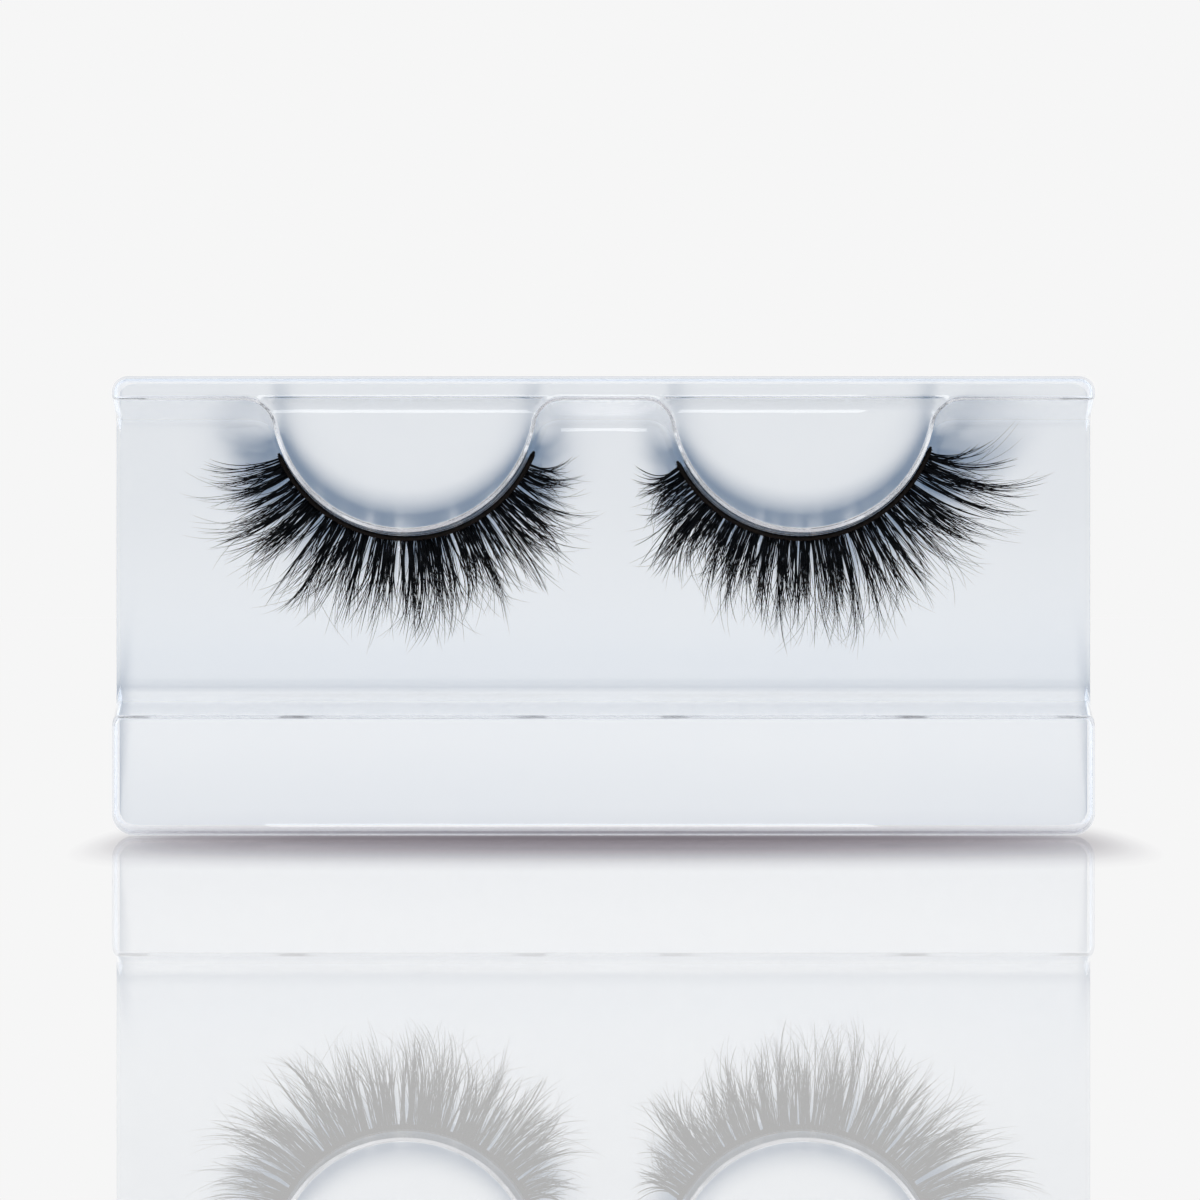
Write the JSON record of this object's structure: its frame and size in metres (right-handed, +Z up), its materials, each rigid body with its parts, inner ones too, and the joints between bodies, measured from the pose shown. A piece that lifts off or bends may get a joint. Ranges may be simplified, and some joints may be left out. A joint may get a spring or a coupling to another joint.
{
  "type": "eyelash case",
  "caption": "Clear thermoformed lash tray that stands on its long wall, with black strip lashes stuck on the curved walls of half-moon platforms.",
  "frame": {"origin": "middle of the base: the bottom centre of the whole case as it stands", "axes": "+X to the right along the case's length, +Y to the back (the trimmed open side), +Z up; the lashes face -Y"},
  "size_m": [0.1094, 0.0126, 0.0505],
  "materials": {
    "clear_sheet": "clear, glossy thin plastic sheet with a faint blue tint",
    "adhesive": "thin line of dried removable glue, slightly glossy",
    "lash_band": "black cotton thread band, knotted",
    "lash_hair": "fine black tapered hair with a soft sheen"
  },
  "bodies": {
    "tray": {"tray": "clear_sheet"},
    "left_lash": {"left_lash_adhesive": "adhesive", "left_lash_band": "lash_band", "left_fan_01": "lash_hair", "left_fan_02": "lash_hair", "left_fan_03": "lash_hair", "left_fan_04": "lash_hair", "left_fan_05": "lash_hair", "left_fan_06": "lash_hair", "left_fan_07": "lash_hair", "left_fan_08": "lash_hair"},
    "right_lash": {"right_lash_adhesive": "adhesive", "right_lash_band": "lash_band", "right_fan_01": "lash_hair", "right_fan_02": "lash_hair", "right_fan_03": "lash_hair", "right_fan_04": "lash_hair", "right_fan_05": "lash_hair", "right_fan_06": "lash_hair", "right_fan_07": "lash_hair", "right_fan_08": "lash_hair"}
  },
  "joints": [
    {"name": "left_lash_lift", "type": "slide", "parent": "tray", "child": "left_lash", "axis": [0, -1, 0], "range_m": [0, 0.016]},
    {"name": "right_lash_lift", "type": "slide", "parent": "tray", "child": "right_lash", "axis": [0, -1, 0], "range_m": [0, 0.016]}
  ]
}
